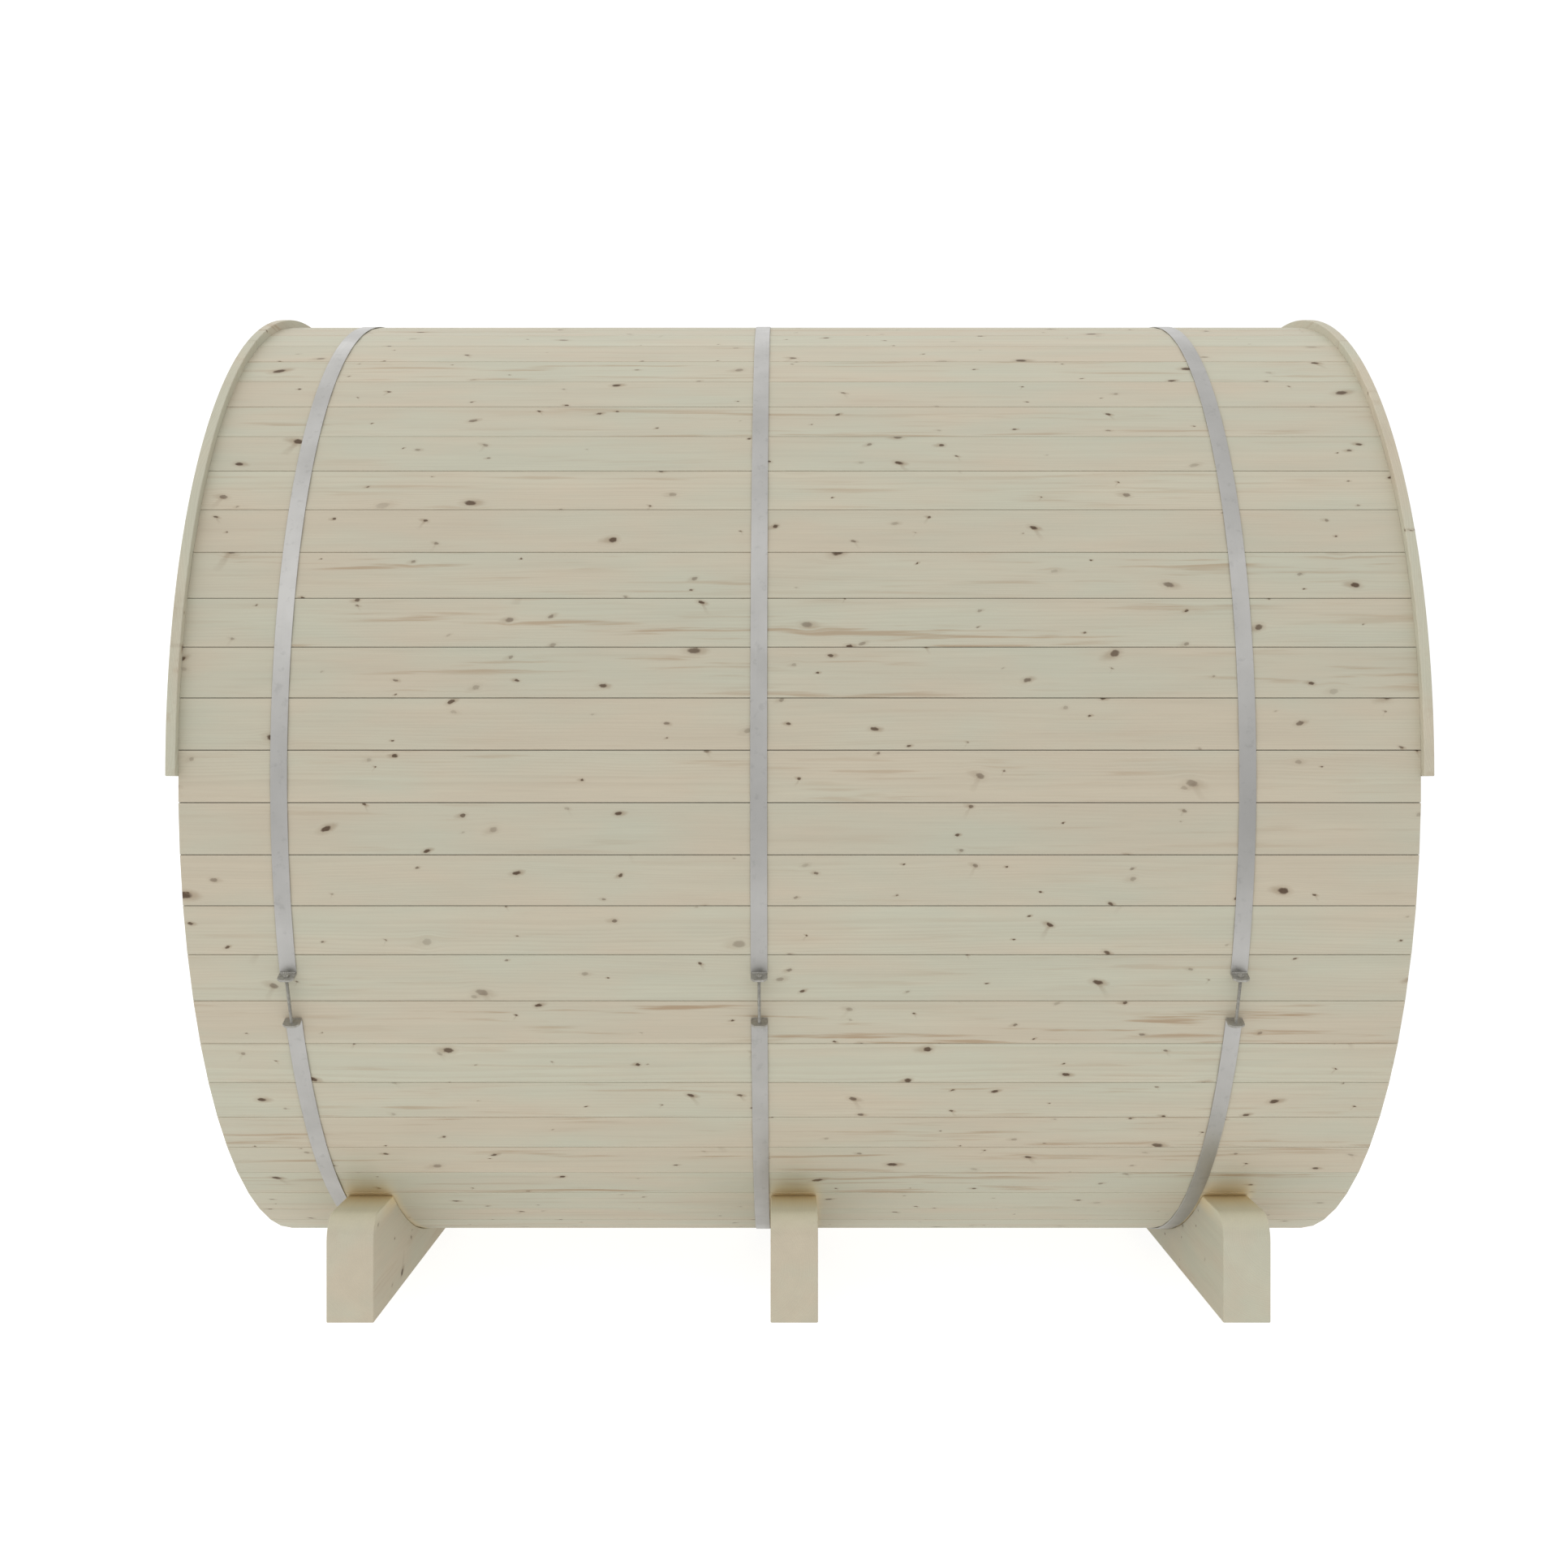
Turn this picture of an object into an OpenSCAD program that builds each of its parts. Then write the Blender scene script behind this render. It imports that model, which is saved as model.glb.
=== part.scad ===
// Barrel sauna: a horizontal cask of flat softwood staves, closed by an end wall at each end,
// pulled together by steel hoops and set on timber cradles.
// X runs along the barrel, Z is up, and the origin is on the floor under the barrel's middle.
// Hoop tensioners face -Y and the door is in the +X end.

/* [Barrel] */
// Length of the staves
barrel_l = 2184; // [1600:1:3600]
// Outside diameter across opposite stave faces
barrel_d = 2000; // [1600:1:2500]
// Thickness of a stave
stave_t = 42; // [28:1:60]
// Number of stave panels around the barrel
panel_count = 17; // [12:1:20]
// Staves in one panel
panel_staves = 4; // [2:1:5]
// Width of the V joint between two staves
joint_w = 2; // [0.5:0.1:6]
// Depth of the V joint between two staves
joint_depth = 1.2; // [0.5:0.1:5]
// Height of the barrel's underside above the floor
floor_gap = 36; // [20:1:80]

/* [End trims] */
// Thickness of the half-ring trims, along the barrel
trim_t = 18; // [12:1:40]
// How far the trims stand out past the staves
trim_proud = 17; // [0:1:40]
// Number of arcs that make one half ring
trim_arcs = 3; // [2:1:4]

/* [End walls] */
// Thickness of an end wall
wall_t = 42; // [28:1:60]
// Distance from the stave ends to the wall's outer face
wall_recess = 100; // [40:1:300]
// Depth of the groove in the staves that holds the wall
croze_depth = 10; // [5:1:15]
// Clearance of the wall in its groove
croze_gap = 0.5; // [0.2:0.1:2]

/* [Door] */
// Width of the opening inside the door frame
opening_w = 640; // [500:1:800]
// Width of a frame member, seen from the front
frame_w = 45; // [30:1:70]
// Clear distance from the frame's corners to the staves
frame_clear = 28; // [10:1:150]
// How far the frame stands out from the wall
frame_proud = 12; // [0:1:30]
// Thickness of the door leaf
leaf_t = 36; // [25:1:45]
// Gap around the door leaf
leaf_gap = 3; // [2:0.5:6]
// Width of the stop strips, into the opening
stop_w = 14; // [8:1:25]
// Clearance between the leaf and its stop strips
stop_gap = 1; // [0.5:0.5:3]
// Height of a hinge
hinge_h = 90; // [60:1:140]
// Width of a hinge's two plates together
hinge_w = 60; // [40:1:80]
// Thickness of the hinge plates
hinge_t = 2.5; // [2:0.5:4]
// Diameter of the hinge knuckle
knuckle_d = 13; // [8:1:20]
// Distance from the leaf's ends to the middle of the outer hinges
hinge_inset = 220; // [120:1:350]
// Length of the pull handle
handle_l = 320; // [200:1:600]
// Side of the handle's square bar
handle_bar = 28; // [20:1:45]
// Clear space for the fingers behind the handle
handle_grip = 34; // [30:1:60]
// Distance from the leaf's free edge to the middle of the handle
handle_inset = 70; // [50:1:150]

/* [Hoops] */
// Width of a hoop
hoop_w = 30; // [20:1:60]
// Thickness of a hoop
hoop_t = 1.5; // [1:0.1:4]
// Clearance of the hoops and cradles on the stave edges
seat_gap = 0.2; // [0:0.1:1]
// Gap between a hoop and the side of its cradle
hoop_to_cradle = 4; // [1:0.5:60]
// Angle of the tensioners below the barrel's middle
tensioner_angle = 23.3; // [0:0.1:40]
// Open length between the two ends of a hoop
hoop_opening = 90; // [50:1:160]

/* [Tensioners] */
// Height of a lug above the hoop
lug_h = 26; // [20:1:45]
// Thickness of a lug
lug_t = 4; // [3:0.5:8]
// Cut on the outer corners of a lug
lug_corner = 7; // [2:0.5:9]
// Height of the rod's centre line above the hoop
rod_height = 13; // [10:0.5:20]
// Diameter of the threaded rod
rod_d = 6; // [5:0.5:8]
// Clearance around the rod in its hole
rod_gap = 0.5; // [0.2:0.1:1]
// Length of rod that shows past each nut
rod_end = 1; // [1:1:25]
// Width of a nut across its flats
nut_flats = 10; // [9:0.5:18]
// Thickness of a nut
nut_t = 5; // [4:0.5:10]

/* [Cradles] */
// Distance from the stave ends to the middle of an outer cradle
cradle_inset = 241; // [120:1:500]
// Shift of the middle cradle and its hoop along the barrel
middle_shift = -8; // [-100:1:100]
// Thickness of a cradle, along the barrel
cradle_t = 90; // [45:1:140]
// Length of a cradle, across the barrel
cradle_l = 1470; // [1250:1:1700]
// Height of a cradle at its ends
cradle_h = 202; // [150:1:260]
// Radius of the rounded top corners
cradle_corner_r = 50; // [10:1:80]

/* [Hidden] */
$fn = 48;
ring_fn = 360;                              // facets of a circle as large as the barrel
eps = 1;                                    // overshoot of a cut past the face it opens
barrel_r = barrel_d / 2;
axis_z = floor_gap + barrel_r;
stave_count = panel_count * panel_staves;
stave_pitch = 360 / stave_count;
stave_w = 2 * barrel_r * tan(stave_pitch / 2);
inner_r = barrel_r - stave_t;
corner_r = barrel_r / cos(stave_pitch / 2);
inner_corner_r = inner_r / cos(stave_pitch / 2);
face_half = (stave_w - joint_w) / 2;        // half of a stave's face, between its V joints
seat_r = norm([barrel_r, face_half]) + seat_gap;

trim_ro = barrel_r + trim_proud;
trim_span = 180 / trim_arcs;

croze_r = inner_r + croze_depth;
wall_r = croze_r - croze_gap;
wall_out_x = barrel_l / 2 - wall_recess;
wall_in_x = wall_out_x - wall_t;

frame_out_w = opening_w + 2 * frame_w;
frame_out_h = 2 * sqrt(pow(inner_r - frame_clear, 2) - pow(frame_out_w / 2, 2));
opening_h = frame_out_h - 2 * frame_w;
frame_x = wall_out_x + frame_proud;         // outer face of the frame and of the leaf
leaf_w = opening_w - 2 * leaf_gap;
leaf_h = opening_h - 2 * leaf_gap;
leaf_in_x = frame_x - leaf_t;
stop_x = leaf_in_x - stop_gap;
hinge_y = opening_w / 2 - leaf_gap / 2;     // middle of the gap beside the leaf
handle_y = -leaf_w / 2 + handle_inset;

hoop_ro = seat_r + hoop_t;
gap_a = 2 * asin(hoop_opening / 2 / hoop_ro);
tension_a = 180 + tensioner_angle;
rod_r = hoop_ro + rod_height;
lug_y = hoop_opening / 2;
nut_y = lug_y + lug_t;

outer_x = barrel_l / 2 - cradle_inset;
cradle_xs = [-outer_x, middle_shift, outer_x];
hoop_shift = cradle_t / 2 + hoop_to_cradle + hoop_w / 2;
PLACES = ["left", "middle", "right"];

wood = "#c3bba6";
wood_end = "#b9ab8e";
steel = "#b3b1b6";
dark_steel = "#7d7a73";

function polar(r, a) = [r * cos(a), r * sin(a)];
function joint_a(k) = (k - 0.5) * stave_pitch;
function two_digits(n) = n < 10 ? str("0", n) : str(n);
function panel_name(p) = str("stave_panel_", two_digits(p + 1));
function trim_name(end, i) = str(end, "_trim_", i + 1);

// Point on the face of stave k, at a distance s from its middle
function face_point(k, s) =
    let (a = k * stave_pitch)
    [barrel_r * cos(a) - s * sin(a), barrel_r * sin(a) + s * cos(a)];

// Outline of a panel's outer side: V joint, face, V joint, face, and so on
function outer_points(first, last) = [
    for (k = [first:last])
        each [polar(corner_r - joint_depth, joint_a(k)), face_point(k, -face_half), face_point(k, face_half)],
    polar(corner_r - joint_depth, joint_a(last + 1))
];

function inner_points(first, last) = [for (k = [last + 1:-1:first]) polar(inner_corner_r, joint_a(k))];

// Places what is drawn across the barrel: x becomes Y, y becomes Z, and z runs along the barrel
module on_axis(x) {
    translate([x, 0, axis_z]) rotate([90, 0, 90]) children();
}

// A box given by its low and high corners, measured from the barrel's axis
module axis_box(low, high) {
    translate([low[0], low[1], axis_z + low[2]]) cube(high - low);
}

module ring_arc(r_in, r_out, length, span) {
    rotate_extrude(angle = span, $fn = ring_fn) translate([r_in, 0]) square([r_out - r_in, length]);
}

module stave_panel(p) {
    first = p * panel_staves;
    last = first + panel_staves - 1;
    outline = concat(outer_points(first, last), inner_points(first, last));
    color(wood) difference() {
        on_axis(-barrel_l / 2) linear_extrude(barrel_l) polygon(outline);
        for (x = [-wall_out_x, wall_in_x])
            on_axis(x - croze_gap) cylinder(h = wall_t + 2 * croze_gap, r = croze_r, $fn = ring_fn);
    }
}

module trim_arc(end, i) {
    x = end == "front" ? barrel_l / 2 : -barrel_l / 2 - trim_t;
    color(wood) on_axis(x) rotate([0, 0, i * trim_span]) ring_arc(inner_r, trim_ro, trim_t, trim_span);
}

module wall_disc(x) {
    on_axis(x) cylinder(h = wall_t, r = wall_r, $fn = ring_fn);
}

// The part of the front wall's disc that lies between two corners across the barrel
module front_wall(low, high) {
    color(wood) intersection() {
        wall_disc(wall_in_x);
        axis_box([wall_in_x - eps, low[0], low[1]], [wall_out_x + eps, high[0], high[1]]);
    }
}

module front_wall_left() {
    front_wall([-barrel_r, -barrel_r], [-frame_out_w / 2, barrel_r]);
}

module front_wall_right() {
    front_wall([frame_out_w / 2, -barrel_r], [barrel_r, barrel_r]);
}

module front_wall_over_door() {
    front_wall([-frame_out_w / 2, frame_out_h / 2], [frame_out_w / 2, barrel_r]);
}

module front_wall_under_door() {
    front_wall([-frame_out_w / 2, -barrel_r], [frame_out_w / 2, -frame_out_h / 2]);
}

module back_wall() {
    color(wood) wall_disc(-wall_out_x);
}

// A block centred on the axis, w wide and h high, from x_in to x_out
module centred_block(x_in, x_out, w, h) {
    axis_box([x_in, -w / 2, -h / 2], [x_out, w / 2, h / 2]);
}

module door_frame() {
    color(wood) difference() {
        centred_block(wall_in_x, frame_x, frame_out_w, frame_out_h);
        centred_block(wall_in_x - eps, frame_x + eps, opening_w, opening_h);
    }
}

// Strips around the inside of the frame, against which the leaf closes
module door_stops() {
    color(wood) difference() {
        centred_block(wall_in_x, stop_x, opening_w, opening_h);
        centred_block(wall_in_x - eps, stop_x + eps, opening_w - 2 * stop_w, opening_h - 2 * stop_w);
    }
}

module door_leaf() {
    color(wood) centred_block(leaf_in_x, frame_x, leaf_w, leaf_h);
}

module hinge(z) {
    axis_box([frame_x, hinge_y - hinge_w / 2, z - hinge_h / 2],
             [frame_x + hinge_t, hinge_y + hinge_w / 2, z + hinge_h / 2]);
    translate([frame_x + knuckle_d / 2, hinge_y, axis_z + z - hinge_h / 2])
        cylinder(h = hinge_h, d = knuckle_d);
}

module door_hinges() {
    reach = leaf_h / 2 - hinge_inset;
    color(dark_steel) for (z = [-reach, 0, reach]) hinge(z);
}

module door_handle() {
    bar_x = frame_x + handle_grip;
    half = handle_bar / 2;
    color(wood_end) {
        axis_box([bar_x, handle_y - half, -handle_l / 2], [bar_x + handle_bar, handle_y + half, handle_l / 2]);
        for (z = [-handle_l / 2, handle_l / 2 - handle_bar])
            axis_box([frame_x, handle_y - half, z], [bar_x + eps, handle_y + half, z + handle_bar]);
    }
}

// Places what is drawn around a hoop's middle, with x pointing out through the tensioner
module at_tensioner(i) {
    on_axis(cradle_xs[i] - hoop_shift) rotate([0, 0, tension_a]) children();
}

module hoop(i) {
    color(steel) at_tensioner(i) translate([0, 0, -hoop_w / 2])
        rotate([0, 0, gap_a / 2]) ring_arc(seat_r, hoop_ro, hoop_w, 360 - gap_a);
}

module lug_outline() {
    half = hoop_w / 2;
    polygon([
        [hoop_ro - lug_t, -half],
        [hoop_ro + lug_h - lug_corner, -half],
        [hoop_ro + lug_h, -half + lug_corner],
        [hoop_ro + lug_h, half - lug_corner],
        [hoop_ro + lug_h - lug_corner, half],
        [hoop_ro - lug_t, half]
    ]);
}

module hoop_lugs(i) {
    color(dark_steel) at_tensioner(i) for (y = [nut_y, -lug_y]) difference() {
        translate([0, y, 0]) rotate([90, 0, 0]) linear_extrude(lug_t) lug_outline();
        cylinder(h = hoop_w + 2 * eps, r = hoop_ro, center = true, $fn = ring_fn);
        translate([rod_r, 0, 0]) rotate([90, 0, 0])
            cylinder(h = 2 * nut_y + 2 * eps, d = rod_d + 2 * rod_gap, center = true);
    }
}

module tension_rod(i) {
    rod_l = 2 * (nut_y + nut_t + rod_end);
    color(dark_steel) at_tensioner(i) translate([rod_r, 0, 0]) rotate([90, 0, 0]) {
        cylinder(h = rod_l, d = rod_d, center = true);
        for (y = [nut_y, -nut_y - nut_t])
            translate([0, 0, y]) cylinder(h = nut_t, d = nut_flats / cos(30), $fn = 6);
    }
}

// Block with two rounded top corners, and a saddle cut to the barrel
module cradle(i) {
    half = cradle_l / 2;
    x = cradle_xs[i] - cradle_t / 2;
    color(wood) difference() {
        union() {
            translate([x, -half, 0]) cube([cradle_t, cradle_l, cradle_h - cradle_corner_r]);
            translate([x, -half + cradle_corner_r, 0])
                cube([cradle_t, cradle_l - 2 * cradle_corner_r, cradle_h]);
            for (y = [-half + cradle_corner_r, half - cradle_corner_r])
                translate([x, y, cradle_h - cradle_corner_r]) rotate([0, 90, 0])
                    cylinder(h = cradle_t, r = cradle_corner_r);
        }
        on_axis(x - eps) cylinder(h = cradle_t + 2 * eps, r = seat_r, $fn = ring_fn);
    }
}

for (p = [0:panel_count - 1])
    stave_panel(p);
for (end = ["front", "back"], i = [0:trim_arcs - 1])
    trim_arc(end, i);
front_wall_left();
front_wall_right();
front_wall_over_door();
front_wall_under_door();
back_wall();
door_frame();
door_stops();
door_leaf();
door_hinges();
door_handle();
for (i = [0:len(PLACES) - 1]) {
    hoop(i);
    hoop_lugs(i);
    tension_rod(i);
    cradle(i);
}
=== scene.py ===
import math
import random

import bmesh
import bpy
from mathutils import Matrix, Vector


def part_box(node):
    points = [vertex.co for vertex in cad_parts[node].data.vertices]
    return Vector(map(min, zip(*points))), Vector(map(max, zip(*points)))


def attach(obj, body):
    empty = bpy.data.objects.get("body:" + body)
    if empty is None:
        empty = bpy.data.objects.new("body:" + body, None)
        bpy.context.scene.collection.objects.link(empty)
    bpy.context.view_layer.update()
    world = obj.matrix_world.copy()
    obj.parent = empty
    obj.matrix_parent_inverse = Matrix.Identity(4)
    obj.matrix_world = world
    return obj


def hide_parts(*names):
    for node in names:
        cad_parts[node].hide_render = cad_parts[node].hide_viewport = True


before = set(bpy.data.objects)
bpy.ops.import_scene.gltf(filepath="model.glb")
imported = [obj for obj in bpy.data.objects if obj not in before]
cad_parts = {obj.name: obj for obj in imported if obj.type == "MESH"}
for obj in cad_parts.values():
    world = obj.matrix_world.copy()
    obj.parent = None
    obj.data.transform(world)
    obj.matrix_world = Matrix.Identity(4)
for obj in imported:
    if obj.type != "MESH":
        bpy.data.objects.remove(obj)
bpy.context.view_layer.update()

# The barrel sauna's looks, in metres: X along the barrel, Z up, the door at +X and the
# tensioners at -Y. Sizes come from the frame; the values below are those the frame doesn't hold.

rng = random.Random(68)

PANELS = 17
STAVES_PER_PANEL = 4
PLACES = ("left", "middle", "right")
ENDS = {"front": 1, "back": -1}
TRIM_ARCS = 3
TENSIONER_ANGLE = math.radians(180 + 23.3)  # round the axis, from +Y by way of the top
HOOP_OPENING = 0.090
LUG_T = 0.004
NUT_T = 0.005
NUT_FLATS = 0.010
ROD_HEIGHT = 0.013
ROD_R = 0.003
LEAF_GAP = 0.003
STOP_W = 0.014
HINGE_INSET = 0.220
HINGE_H = 0.090
CRADLE_CORNER = 0.050

X = Vector((1, 0, 0))
Y = Vector((0, 1, 0))
Z = Vector((0, 0, 1))


# ---------------------------------------------------------------- sizes read from the frame

def span(node, axis):
    """Lowest and highest value of a CAD node along an axis: 0 for X, 1 for Y, 2 for Z."""
    low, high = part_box(node)
    return low[axis], high[axis]


AXIS_Z = sum(span("back_wall", 2)) / 2


def radii(node):
    """Smallest and largest distance of a CAD node's points from the barrel's axis."""
    far = [math.hypot(v.co.y, v.co.z - AXIS_Z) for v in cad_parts[node].data.vertices]
    return min(far), max(far)


HALF_PITCH = math.pi / (PANELS * STAVES_PER_PANEL)
BARREL_HALF = span("stave_panel_05", 0)[1]
BARREL_R = span("stave_panel_05", 2)[1] - AXIS_Z
INNER_R, TRIM_R = radii("front_trim_2")
TRIM_T = span("front_trim_2", 0)[1] - BARREL_HALF
WALL_R = radii("back_wall")[1]
WALL_OUT, WALL_IN = -span("back_wall", 0)[0], -span("back_wall", 0)[1]
HOOP_IN, HOOP_OUT = radii("hoop_middle")
HOOP_W = span("hoop_middle", 0)[1] - span("hoop_middle", 0)[0]
FRAME_X = span("door_frame", 0)[1]
FRAME_Y = span("door_frame", 1)[1]
FRAME_H = span("door_frame", 2)[1] - AXIS_Z
LEAF_Y = span("door_leaf", 1)[1]
LEAF_H = span("door_leaf", 2)[1] - AXIS_Z
LEAF_IN = span("door_leaf", 0)[0]


def round_axis(radius, angle, x=0.0):
    """A point round the barrel's axis: angle 0 is +Y, a quarter turn is the top."""
    return Vector((x, radius * math.cos(angle), AXIS_Z + radius * math.sin(angle)))


def from_axis(x, y, z):
    """A point whose height counts from the barrel's axis."""
    return Vector((x, y, AXIS_Z + z))


def outwards(angle):
    """The direction away from the barrel's axis at an angle round it."""
    return round_axis(1, angle) - round_axis(0, angle)


def mirrored(sign, a, b):
    """The two values as they are or with their signs turned, the lower one first."""
    return sorted((sign * a, sign * b))


# ---------------------------------------------------------------- meshes

def loft(rings):
    """Vertices and faces of a tube through rings of equally many points, with flat ends."""
    n = len(rings[0])
    verts = [p for ring in rings for p in ring]
    faces = [
        [i * n + j, i * n + (j + 1) % n, (i + 1) * n + (j + 1) % n, (i + 1) * n + j]
        for i in range(len(rings) - 1)
        for j in range(n)
    ]
    faces += [list(range(n)), list(range((len(rings) - 1) * n, len(rings) * n))]
    return verts, faces


def prism(outline, low, high, place):
    """A flat outline of (a, b) points made solid between two heights; place gives the 3-D point."""
    return loft([[place(a, b, h) for a, b in outline] for h in (low, high)])


def block(low, high):
    """A box between two corners."""
    outline = [(low[0], low[1]), (high[0], low[1]), (high[0], high[1]), (low[0], high[1])]
    return prism(outline, low[2], high[2], lambda a, b, h: Vector((a, b, h)))


def arc(centre, radius, start, end, steps):
    """Points along an arc, ends included, as (a, b) pairs."""
    points = []
    for i in range(steps + 1):
        a = start + (end - start) / steps * i
        points.append((centre[0] + radius * math.cos(a), centre[1] + radius * math.sin(a)))
    return points


def band(section, start, stop, steps):
    """A band bent round the barrel's axis from one angle to another; section holds its corners
    as (radius, x) pairs."""
    angles = (start + (stop - start) * k / steps for k in range(steps + 1))
    return loft([[round_axis(r, a, x) for r, x in section] for a in angles])


def lathe(profile, base, direction, sides, shape=None):
    """A turned solid: profile is (radius, height) pairs along direction from base, and shape,
    where given, changes a radius by the angle round it."""
    direction = direction.normalized()
    side = direction.orthogonal().normalized()
    other = direction.cross(side)
    rings = []
    for radius, height in profile:
        ring = []
        for i in range(sides):
            a = math.tau * i / sides
            r = shape(radius, a) if shape else radius
            ring.append(base + direction * height + (side * math.cos(a) + other * math.sin(a)) * r)
        rings.append(ring)
    return loft(rings)


PITH_ASIDE = (-0.05, 0.05)                  # where a board's log has its pith, from the board
PITH_BELOW = (0.04, 0.12)
PITH_ALONG = (3, 60)                        # far apart along the log, so no two boards are alike
SMOOTH_BELOW = math.radians(32)
BEVEL_ABOVE = math.radians(40)


class Piece:
    """One visible piece, gathered solid by solid."""

    def __init__(self, name):
        self.name, self.verts, self.faces, self.grain = name, [], [], []

    def add(self, solid, grain=None):
        """Adds a solid, given as its vertices and faces."""
        verts, faces = solid
        start = len(self.verts)
        self.verts += [tuple(v) for v in verts]
        self.faces += [[start + i for i in face] for face in faces]
        self.grain += [grain] * len(verts)

    def add_board(self, solid, along, across):
        """Adds a board with a place of its own in a log, which the wood materials read."""
        verts = solid[0]
        centre = sum(verts, Vector()) / len(verts)
        depth = along.cross(across)
        pith = centre + across * rng.uniform(*PITH_ASIDE)
        pith += depth * rng.choice((-1, 1)) * rng.uniform(*PITH_BELOW)
        pith -= along * rng.uniform(*PITH_ALONG)
        tone = Vector((rng.random(), rng.random(), rng.random()))
        self.add(solid, (pith, along, across, tone))

    def make(self, material, slot, replaced=(), bevel=0.0, segments=2):
        """Makes the object, with its normals outwards and its sharp edges eased."""
        mesh = bpy.data.meshes.new(self.name)
        mesh.from_pydata(self.verts, [], self.faces)
        tidy = bmesh.new()
        tidy.from_mesh(mesh)
        bmesh.ops.recalc_face_normals(tidy, faces=tidy.faces)
        tidy.to_mesh(mesh)
        tidy.free()
        if self.grain[0]:
            for i, name in enumerate(("grain_at", "grain_along", "grain_across", "grain_tone")):
                layer = mesh.attributes.new(name, "FLOAT_VECTOR", "POINT")
                layer.data.foreach_set("vector", [c for g in self.grain for c in g[i]])
        mesh.shade_smooth()
        mesh.set_sharp_from_angle(angle=SMOOTH_BELOW)
        mesh.materials.append(material)
        obj = bpy.data.objects.new(self.name, mesh)
        bpy.context.scene.collection.objects.link(obj)
        if bevel:
            edges = obj.modifiers.new("edges", "BEVEL")
            edges.width = bevel
            edges.segments = segments
            edges.limit_method = "ANGLE"
            edges.angle_limit = BEVEL_ABOVE
            normals = obj.modifiers.new("normals", "WEIGHTED_NORMAL")
            normals.keep_sharp = True
        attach(obj, "root")
        if replaced:
            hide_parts(*replaced)


# ---------------------------------------------------------------- materials

class Graph:
    """A node tree, written as expressions."""

    def __init__(self, owner, shader, output):
        owner.use_nodes = True
        self.tree = owner.node_tree
        self.tree.nodes.clear()
        self.shader = self.node(shader)
        self.tree.links.new(self.shader.outputs[0], self.node(output).inputs[0])

    def node(self, kind, inputs=None, **settings):
        made = self.tree.nodes.new(kind)
        for key, value in settings.items():
            setattr(made, key, value)
        for key, value in (inputs or {}).items():
            self.put(made.inputs[key], value)
        return made

    def put(self, socket, value):
        """Links a socket to a node's output, or sets it to a value."""
        if isinstance(value, bpy.types.NodeSocket):
            self.tree.links.new(value, socket)
        else:
            socket.default_value = value

    def math(self, operation, a, b=0.0, c=0.0):
        return self.node("ShaderNodeMath", {0: a, 1: b, 2: c}, operation=operation).outputs[0]

    def times(self, first, *others):
        for other in others:
            first = self.math("MULTIPLY", first, other)
        return first

    def length(self, a, b):
        return self.math("SQRT", self.math("ADD", self.times(a, a), self.times(b, b)))

    def vector(self, operation, a, b):
        made = self.node("ShaderNodeVectorMath", {0: a, 1: b}, operation=operation)
        return made.outputs["Value" if operation == "DOT_PRODUCT" else "Vector"]

    def combine(self, x, y, z=0.0):
        return self.node("ShaderNodeCombineXYZ", {0: x, 1: y, 2: z}).outputs[0]

    def separate(self, vector):
        return self.node("ShaderNodeSeparateXYZ", {0: vector}).outputs

    def attribute(self, name):
        return self.node("ShaderNodeAttribute", attribute_name=name).outputs["Vector"]

    def place(self):
        return self.node("ShaderNodeTexCoord").outputs["Object"]

    def noise(self, vector, scale=1.0, detail=2.0, roughness=0.5):
        made = self.node(
            "ShaderNodeTexNoise",
            {"Vector": vector, "Scale": scale, "Detail": detail, "Roughness": roughness},
        )
        return made.outputs["Fac"]

    def remap(self, value, low, high, to_low=0.0, to_high=1.0, smooth=False):
        made = self.node(
            "ShaderNodeMapRange",
            {"Value": value, "From Min": low, "From Max": high, "To Min": to_low, "To Max": to_high},
            interpolation_type="SMOOTHSTEP" if smooth else "LINEAR",
        )
        return made.outputs[0]

    def mix(self, factor, a, b):
        """Colour a, going over to colour b as factor goes from 0 to 1."""
        made = self.node("ShaderNodeMix", data_type="RGBA")
        self.put(made.inputs[0], factor)
        for socket, value in ((made.inputs[6], a), (made.inputs[7], b)):
            self.put(socket, value if isinstance(value, bpy.types.NodeSocket) else (*value, 1.0))
        return made.outputs[2]

    def bump(self, height, distance, strength):
        made = self.node("ShaderNodeBump", {"Height": height, "Distance": distance, "Strength": strength})
        self.put(self.shader.inputs["Normal"], made.outputs[0])

    def is_camera_ray(self):
        return self.node("ShaderNodeLightPath").outputs["Is Camera Ray"]


def material_graph(name):
    material = bpy.data.materials.new(name)
    return material, Graph(material, "ShaderNodeBsdfPrincipled", "ShaderNodeOutputMaterial")


class Knots:
    """One kind of knot: the cell that holds at most one, its smallest and largest radius in
    metres, and how dark the darkest are."""

    def __init__(self, cell, smallest, largest, dark):
        self.cell, self.smallest, self.largest, self.dark = cell, smallest, largest, dark


BIG_KNOTS = Knots((0.28, 0.085), 0.0032, 0.0074, 0.95)
SMALL_KNOTS = Knots((0.18, 0.050), 0.0015, 0.0040, 0.88)
KNOT_RAGGED = (0.006, 0.004)                # how much a knot's outline wanders, along and across
KNOT_SPREAD = 0.85                          # how far a knot may sit from the middle of its cell
KNOT_LONG = (1.30, 2.20)                    # length over width
KNOT_LEAN = 0.8
KNOT_TAIL_AT, KNOT_TAIL_LONG = 1.6, 2.3     # in knot radii
KNOT_SPIKE_LONG = 8.0
KNOT_SPIKE_STEEP = (0.45, 1.15)
KNOT_NO_SPIKE = 0.72                        # share of the knots that have none
KNOT_MARK = 0.42                            # strength of a spike or tail beside the knot's own
KNOT_CORE = (0.095, 0.058, 0.034)
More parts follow.
